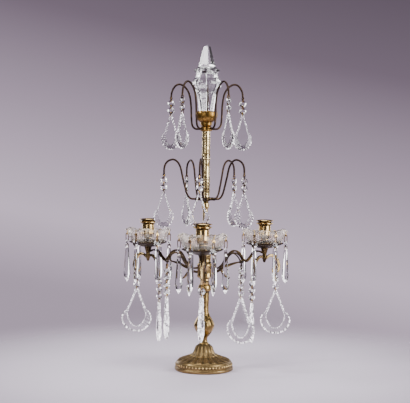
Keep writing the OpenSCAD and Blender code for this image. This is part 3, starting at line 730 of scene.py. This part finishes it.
def bossCasting(cut=armShape):
    # a small baluster under the saucer with a collar of leaves
    profile = smoothCurve([(0.4, 0), (1.8, 0.4), (3, 3), (3.8, 6), (5.2, 9), (5.6, 12), (4.6, 15.5), (4.2, 18),
                           (4.8, 21.5), (5.8, 25), (6.8, 28), (7, 30), (6.2, 30)], 4)
    profile = profile + [0, cut["level"] + cut["bossAt"]]
    rise = (profile[:, 1:] - cut["level"] - cut["collarAt"]) / cut["collarHigh"]
    collar = (rise > 0) & (rise < 1)
    leaf = np.clip(np.abs(np.cos(circle(cut["bossAround"]) * 4)) * 1.5 - 0.35, 0, 1) * collar
    marks = np.where((rise > -0.1) & (rise < 1), 0.85 - 0.5 * leaf, 0.6).ravel()
    part = revolve(profile, cut["bossAround"], (leaf - 0.4) * cut["collarOut"] * collar, capped=True)
    return moved(part, [cut["reach"], 0, 0]), marks


def candleArm(name, azimuth, yaw, cut=armShape):
    # twin bars in two arches from the hub to the boss, a leaf under the first arch with its tip curled down,
    # a tendril down from the boss to one eye and a curled hook out to the other
    twin, dirt = bar(armBars["twin"])
    # the twin bars are darkened nearly black all over: partly dark patina, partly painted shade
    pieces = [(moved(twin, [0, y, 0]), np.maximum(dirt, cut["twinDirt"])) for y in (-cut["apart"], cut["apart"])]
    pieces += [bar(armBars[k]) for k in ("tendril", "hook", "leaf", "leafTip")] + [bossCasting()]
    a = math.radians(yaw)
    for (r, z), axis in ((cut["hook"], (-math.sin(a), math.cos(a), 0)), (cut["tip"], (0, 1, 0))):
        ring = eyeRing((r, 0, cut["level"] + z), cut["eyeRadius"], cut["eyeWire"], axis)
        pieces.append((ring, np.full(len(ring[0]), cut["eyeMark"])))
    parts = [atAzimuth(part, azimuth) for part, _ in pieces]
    makePiece(name + "_casting", parts, castBrass, [name], crease=50,
              marks=np.concatenate([mark for _, mark in pieces]))


archShape = {"level": 204.0, "eye": (84.0, 212.0), "wire": 1.4, "flat": 0.9, "apart": 4.6, "barHalf": 4.8, "bar": 2.2,
             "barUp": 7.0, "azimuths": (60, 180, 300)}


def archScrolls(cut=archShape):
    # twin wires out of the hub, over in an arch, joined by a bar with a hanging eye below
    a, w, (r, z) = cut["level"], cut["wire"], cut["eye"]
    top = z + cut["barUp"]
    line = inPlane(smoothCurve([(8, a), (16, a), (25, a - 0.5), (34, a + 2), (43, a + 10), (52, a + 24), (64, a + 32),
                                (75, a + 29), (r - 1, a + 20), (r, top)], 8))
    twin = [sweep(line + [0, k * cut["apart"], 0], w, w * cut["flat"], sides=12) for k in (-1, 1)]
    across = np.stack([np.full(9, r), np.linspace(-cut["barHalf"], cut["barHalf"], 9), np.full(9, top)], 1)
    joint = sweep(across, cut["bar"], cut["bar"], across=(1, 0, 0), sides=14)
    post = revolve([(1.4, z + 2), (1.3, z + 4), (1.9, z + 6)], 14, capped=True)
    ring = eyeRing((r, 0, z), armShape["eyeRadius"], armShape["eyeWire"], (0, 1, 0))
    one = twin + [joint, moved(post, [r, 0, 0]), ring]
    parts = [atAzimuth(part, azimuth) for azimuth in cut["azimuths"] for part in one]
    makePiece("arch_scrolls_casting", parts, archBrass, ["arch_scrolls"], crease=50)


for side, azimuth in armAzimuths.items():
    candleArm("candle_arm_" + side, azimuth, hookYaws[side])
archScrolls()
print("arms cast")


def atArms(part, height, sides=armAzimuths):
    # a part made about its own axis, set on the axis of each of these arms' candles
    return [atAzimuth(part, armAzimuths[side], armShape["reach"], height) for side in sides]


bowlShape = {"level": 241.2, "rim": 47.0, "deep": 33.0, "bore": 4.2, "ribs": 72, "ribHigh": 0.4, "petals": 6,
             "petalHigh": 5.0, "petalDraw": 0.8, "footGlint": 0.12}


def bowlGlass(cut=bowlShape):
    # a pressed dish with fine ribs; between two pins its rim rises in a petal, which gets the most painted glow
    r, h, bore = cut["rim"], cut["deep"], cut["bore"]
    outer = smoothCurve([(13, 0), (18, 1.2), (25, 3.8), (31, 7.4), (35.4, 12), (38.2, 17), (40, 22), (41.2, 26.4),
                         (42.6, 29.4), (44.8, 30.6), (r, 31)], 2)
    lip = [(r, 32.2), (r - 0.6, h)]
    inner = [(43.4, h), (41.4, 32.2), (39.8, 30), (38.6, 27), (37.2, 22), (35.2, 17.4), (32.4, 13), (28, 9.4),
             (21, 6), (12, 3), (bore, 3), (bore, 0)]
    profile = np.vstack([outer, lip, inner])
    wide, z = profile[:, :1], profile[:, 1:]
    up = np.clip((z - 18) / 14, 0, 1) ** 1.6 * (wide > 30)
    ribbed = np.clip((wide - 14) / 8, 0, 1) * (np.arange(len(profile)) < len(outer) + len(lip))[:, None]
    # painted glow: a little over the whole bowl, most on the rising petals
    low = cut["footGlint"]
    angle = circle(4 * cut["ribs"])
    petal = np.sin(angle * cut["petals"] / 2 - turn / 4) ** 2
    glint = low + (1 - low) * up * (0.4 + 0.6 * petal)
    out = np.cos(angle * cut["ribs"]) * cut["ribHigh"] * ribbed - (1 - petal) * cut["petalDraw"] * up
    parts = atArms(revolve(profile, len(angle), out, petal ** 0.8 * cut["petalHigh"] * up), cut["level"])
    makePiece("drip_bowls_glass", parts, bowlCrystal, ["drip_bowls"], crease=70,
              marks=np.tile(glint.ravel(), len(parts)))


bowlGlass()
print("bowls cut")


# turned pieces: the section outside, from its foot up, then inside, back down; "at" is the height of its foot,
# and dirt lies between the heights in "dark"
lathe = {
    "arm_hub": {
        "at": 171.0, "finish": brass, "dark": [(3.9, 7.1), (11.5, 13.3), (17.3, 17.5), (42, 45), (59.5, 62.1)],
        "section": [(9, 0), (9.3, 0.5), (9.3, 3.2), (8.6, 4), (8.6, 7), (9.4, 8), (9.4, 10), (11, 11.6), (14, 13.2),
                    (15.5, 15.4), (15.5, 16.8), (15, 17.4), (15, 18.6), (15, 36.6), (15.5, 37.4), (15.5, 38.6),
                    (14.4, 40.6), (12.6, 42.4), (12, 44.6), (12, 46), (12, 56), (12.4, 57), (12.4, 58.4),
                    (11.4, 59.6), (8.4, 61), (7.6, 62), (7.6, 65.4), (7.2, 66), (3.2, 66), (3.2, 0)]},
    "lower_tube": {
        "at": 237.0, "finish": brass, "dark": [(3.5, 5.1), (84.5, 84.7), (96.5, 100)],
        "section": [(6.2, 0), (6.4, 0.6), (6.4, 2.6), (5.8, 3.6), (4.9, 5), (4.8, 8), (4.8, 82), (5.2, 84.6),
                    (6.6, 85.8), (7.2, 88), (7.3, 91), (6.8, 94), (6.1, 96.6), (6.1, 100), (3.2, 100), (3.2, 0)]},
    "finial_cup": {
        "at": 476.0, "finish": cupBrass, "dark": [(8.9, 10.1), (18.1, 18.3)],
        "section": [(9, 0), (11, 0.6), (12, 2), (12, 7), (11, 8.4), (9.6, 9), (9.4, 10), (9.8, 11), (11, 12),
                    (11.5, 14), (11.6, 17), (12.2, 18.2), (14.6, 19.6), (17.8, 22), (20.2, 25), (21.7, 28.4),
                    (22.4, 32), (22.4, 35.4), (22, 37.8), (21.2, 39), (19.8, 39), (18.6, 35), (15, 27), (11.5, 23),
                    (0.6, 23), (0.6, 17.2), (3.2, 17.2), (3.2, 0)]}}
turnedAround = 96


def grime(section, bands, around, deep=0.85):
    # dirt left in a turned piece's grooves: the rows between the two heights of a band
    z = np.array(section, float)[:, 1]
    dark = sum(((z >= low) & (z <= high) for low, high in bands), np.zeros(len(z), bool))
    return np.repeat(dark * deep, around)


for name, cut in lathe.items():
    part = revolve(np.array(cut["section"], float) + [0, cut["at"]], turnedAround)
    makePiece(name + "_turning", [part], cut["finish"], [name], crease=32,
              marks=grime(cut["section"], cut["dark"], turnedAround))

ringedTube = {"at": 345.0, "long": 131.0, "r": 7.9, "bore": 3.2, "proud": 1.0, "ringWide": 2.6,
              "rings": [5, 11, 17, 23, 29, 35, 75, 82, 115]}


def upperTube(cut=ringedTube):
    # a plain tube; each ring is a half-round band that stands proud of it, with dirt along both edges
    r, long, bore = cut["r"], cut["long"], cut["bore"]
    bead = np.array([-0.6, -0.35, 0.0, 0.5, 1.0, 1.35, 1.6]) * cut["ringWide"]
    stand = np.array([0.0, 0.0, 0.5, 1.0, 0.5, 0.0, 0.0]) * cut["proud"] + r
    dirt = np.concatenate([[0], np.tile([0, 0.95, 0.5, 0, 0.5, 0.95, 0], len(cut["rings"])), [0, 0, 0]])
    bands = np.vstack([np.stack([stand, z + bead], 1) for z in cut["rings"]])
    profile = np.vstack([[(r, 0)], bands, [(r, long), (bore, long), (bore, 0)]])
    part = revolve(profile + [0, cut["at"]], turnedAround)
    makePiece("upper_tube_turning", [part], tubeBrass, ["upper_tube"], crease=50, marks=np.repeat(dirt, turnedAround))


upperTube()

crownHub = {"at": 337.0, "socketFrom": 8.0, "socketTo": 20.5, "socketUp": 4.0, "socketAround": 28, "wireBore": 2.15,
            "ring": [(8.4, 0), (9.2, 0.7), (9.5, 2), (9.5, 6), (9.2, 7.3), (8.4, 8), (3.2, 8), (3.2, 0)]}


def midCrownHub(cut=crownHub):
    # a turned ring with five short sockets, each a tube lying along its crook's wire
    start, end, bore = cut["socketFrom"], cut["socketTo"], cut["wireBore"]
    ring = revolve(np.array(cut["ring"]) + [0, cut["at"]], turnedAround)
    tube = revolve([(3.0, start), (3.0, 17.4), (3.4, 18), (3.4, 20), (3.1, end), (bore, end), (bore, start)],
                   cut["socketAround"])
    lying = outward(tube[0][:, [2, 0, 1]] + [0, 0, cut["at"] + cut["socketUp"]], tube[1])
    azimuths = crown["midAzimuth"] + 360 / crown["crooks"] * np.arange(crown["crooks"])
    parts = [ring] + [atAzimuth(lying, azimuth) for azimuth in azimuths]
    makePiece("mid_crown_hub_turning", parts, archBrass, ["mid_crown_hub"], crease=40)


midCrownHub()

finialShape = {
    "at": 499.0, "around": 32, "starDeep": 0.16,
    "outer": [(0.05, 0), (11, 0), (13, 4), (14.6, 20), (17, 38), (20.4, 55), (24.5, 60), (28, 65), (28.6, 70),
              (28.6, 75), (26.5, 79), (23, 84), (20.6, 89), (20.5, 92), (21.5, 95)],
    "star": [(25, 96), (25, 100)], "neck": [(21, 101), (17, 105), (16.4, 108)],
    "spire": [(16.4, 108.6), (7, 145), (0.05, 149)],
    "inner": [(0.05, 99), (14, 97), (17.2, 93), (17.4, 88.6), (19.6, 83.4), (23.4, 78), (25.5, 74), (25.5, 70),
              (24.8, 66), (21, 60.4), (17, 54.6), (13.8, 38), (11.4, 20), (9.5, 6), (0.05, 6)]}


def polygon(angle, sides):
    # distance of a regular polygon's outline from its middle: 1 on a corner, least in the middle of a side
    return np.cos(np.pi / sides) / np.cos(angle % (turn / sides) - np.pi / sides)


def finialGlass(cut=finialShape):
    # a hollow octagonal bell with a star collar under a solid four-sided spire, turned one step from the bell
    groups = ["outer", "star", "neck", "spire", "inner"]
    profile = np.vstack([np.array(cut[g], float) for g in groups])
    kind = np.repeat(groups, [len(cut[g]) for g in groups])[:, None]
    angle = circle(cut["around"])
    star = 1 - cut["starDeep"] * np.abs(np.sin(angle * 4))
    spire = polygon(angle - turn / cut["around"], 4)
    share = np.where(kind == "star", star, np.where(kind == "spire", spire, polygon(angle, 8)))
    part = revolve(profile + [0, cut["at"]], cut["around"], profile[:, :1] * (share - 1))
    makePiece("finial_glass_cut", [part], crystal, ["finial_glass"])


finialGlass()
print("finial cut")

# the candle stack: where each foot stands, and where dirt lies between two heights
stack = {"around": 84, "saucerAt": 240.0, "nozzleAt": 244.2, "insertAt": 294.35,
         "nozzleDark": [(3.1, 10.5), (14.3, 15.7), (22.3, 22.5), (42.3, 44.5), (48.3, 50.1)],
         "insertDark": [(-0.1, 0.95), (3.25, 3.7), (-26, -20)]}
saucerSection = [(4.2, 0), (13, 0), (23, 3.2), (33, 6.5), (36.4, 8), (38.7, 9.3), (39.1, 10), (38.8, 10.7),
                 (37.6, 10.1), (33, 7.7), (23, 4.4), (13, 1.2), (4.2, 1.2)]
nozzleSection = [(4, -15), (4, 0), (9.5, 0), (9.8, 0.8), (9.5, 2), (8.2, 3.2), (6.8, 5.2), (6.1, 8), (6.6, 10.4),
                 (8, 12.6), (9.2, 13), (9.2, 14.4), (10, 15.6), (11.6, 18), (12.5, 21.6), (12.7, 22.4), (12.7, 24),
                 (12.4, 24.6), (12.4, 41), (12.4, 42.4), (12.8, 43.4), (14, 44.4), (16.6, 45.2), (17.4, 46),
                 (17.4, 47.2), (16.6, 48), (14.2, 48.4), (13.8, 50), (11.65, 50), (11.65, 22.85), (0.6, 22.85),
                 (0.6, -15)]
insertSection = [(0.6, -27), (11.4, -27), (11.5, -26.6), (11.5, 0), (13.8, 0), (14.2, 0.9), (17, 1.2), (18, 1.7),
                 (18.1, 2.5), (17.4, 3.1), (14.6, 3.3), (13.4, 3.6), (12.2, 4), (10.5, 4), (10.5, -25), (0.6, -25)]


def turnedAtArms(name, body, sides, section, height, finish, dark):
    # one turned section stood on the axis of each named arm's candle
    parts = atArms(revolve(section, stack["around"]), height, sides)
    makePiece(name + "_turning", parts, finish, [name], body, crease=32,
              marks=np.tile(grime(section, dark, stack["around"]), len(parts)))


turnedAtArms("drip_saucers", "stand", armAzimuths, saucerSection, stack["saucerAt"], saucerBrass, [])
turnedAtArms("candle_nozzles", "stand", armAzimuths, nozzleSection, stack["nozzleAt"], brass, stack["nozzleDark"])
for side in armAzimuths:
    body = "nozzle_insert_" + side
    turnedAtArms(body, body, [side], insertSection, stack["insertAt"], brass, stack["insertDark"])
print("brass turned")


# lamps: place, width and height, and power; paper: the backdrop's colours from low to high, with painted shade in
# them: low down it stays darker than the bright band above, a painted shadow where the paper curves, and it darkens
# again towards the top
studio = {"distance": 2.0, "eye": 0.38, "aim": 0.336, "aimSide": -0.001, "azimuth": 2.0, "lens": 88.0, "sensor": 36.0,
          "roll": 0.6, "slant": 0.2, "room": (0.07, 0.063, 0.07), "paperLight": 1.0, "lampAim": (0.0, 0.0, 0.33),
          "paper": [(0.40, (0.46, 0.375, 0.475)), (0.428, (0.465, 0.378, 0.48)), (0.463, (0.75, 0.62, 0.77)),
                    (0.515, (0.45, 0.36, 0.465)), (0.565, (0.195, 0.15, 0.2)), (0.62, (0.11, 0.085, 0.115))],
          "lamps": {"key": ((1.95, -1.05, 0.75), (1.5, 2.0), 74.0), "spark": ((-1.76, -0.7, 1.55), (0.6, 0.6), 26.0),
                    "strip": ((-0.96, -1.98, 0.6), (0.3, 1.4), 9.0), "rimLeft": ((-1.1, 1.4, 0.6), (0.35, 1.4), 9.0),
                    "rimRight": ((1.1, 1.4, 0.6), (0.35, 1.4), 9.0), "top": ((0.0, -0.1, 2.0), (1.2, 1.2), 26.0)}}


def facing(place, aim):
    # the turn that points a camera or a lamp from its place at the aim
    return Vector(np.array(aim) - place).to_track_quat("-Z", "Y").to_euler()


def setCamera(shot=studio):
    a = math.radians(shot["azimuth"])
    eye = np.array([math.sin(a) * shot["distance"], -math.cos(a) * shot["distance"], shot["eye"]])
    aim = np.array([math.cos(a), math.sin(a), 0]) * shot["aimSide"] + [0, 0, shot["aim"]]
    camera = bpy.data.cameras.new("camera")
    camera.lens, camera.sensor_width = shot["lens"], shot["sensor"]
    holder = addObject("camera", camera)
    turnTo = facing(eye, aim)
    turnTo.rotate_axis("Z", math.radians(shot["roll"]))
    holder.location, holder.rotation_euler = eye, turnTo
    bpy.context.scene.camera = holder


floorShape = {"around": 96, "rows": 12, "reach": 6.0, "grade": 1.6, "low": -0.0004, "fade": (0.2, 0.75), "dull": 0.75,
              "cloud": 3.0, "tones": ((0.85, 0.76, 0.9), (0.87, 0.78, 0.92))}


def layFloor(cut=floorShape):
    # a wide disc that fades into the backdrop before its edge shows
    around, rows = cut["around"], cut["rows"]
    r = (np.linspace(0.0, 1.0, rows) ** cut["grade"] * cut["reach"])[1:, None]
    t = circle(around)
    points = np.stack([r * np.cos(t), r * np.sin(t), np.full((rows - 1, around), cut["low"])], -1)
    mesh = bpy.data.meshes.new("floor")
    mesh.from_pydata(points.reshape(-1, 3), [], gridQuads(rows - 1, around).tolist() + [list(range(around))])
    floor = addObject("floor", mesh)
    paper = Finish("floor_paper", Roughness=cut["dull"])
    paper.feed(Base_Color=paper.noise(cut["cloud"], 3.0).between(0.3, 0.7).mix(*cut["tones"]))
    sheet, tree = paper.sheet, paper.tree
    far = sheet.node("VectorMath", {"operation": "LENGTH"}, {0: paper.place}, out=1)
    clear = sheet.node("BsdfTransparent")
    solid = Shade(tree, paper.shader.outputs[0])
    both = sheet.node("MixShader", {}, {0: far.between(*cut["fade"]), 1: solid, 2: clear})
    tree.links.new(both.socket, next(n for n in tree.nodes if n.type == "OUTPUT_MATERIAL").inputs[0])
    mesh.materials.append(paper.material)


def hangBackdrop(shot=studio):
    # paper behind the object, shaded by height with a slant, and a dark room on the camera's side
    world = bpy.data.worlds.new("backdrop")
    bpy.context.scene.world = world
    world.use_nodes = True
    tree = world.node_tree
    sheet = Shade(tree)
    ray = sheet.node("TexCoord", out=0)
    across, ahead, level = (sheet.node("SeparateXYZ", {}, {0: ray}, out=k) for k in range(3))
    # painted shade: the paper is lighter to one side with the slant and darker upwards
    height = (level + across * shot["slant"]) * 0.5 + 0.5
    paper = sheet.node("ValToRGB", {"stops": shot["paper"]}, {0: height})
    behind = ahead.between(-0.2, 0.8) * across.between(-0.8, -0.35)
    back = next(n for n in tree.nodes if n.type == "BACKGROUND")
    tree.links.new(behind.mix(shot["room"], paper).socket, back.inputs[0])
    back.inputs[1].default_value = shot["paperLight"]


def setLamps(shot=studio):
    for name, (place, size, power) in shot["lamps"].items():
        lamp = bpy.data.lights.new(name, "AREA")
        lamp.shape, lamp.size, lamp.size_y, lamp.energy = "RECTANGLE", *size, power
        holder = addObject(name, lamp)
        holder.location, holder.rotation_euler = place, facing(place, shot["lampAim"])
        holder.visible_camera = False


setCamera()
layFloor()
hangBackdrop()
setLamps()
print("studio lit")
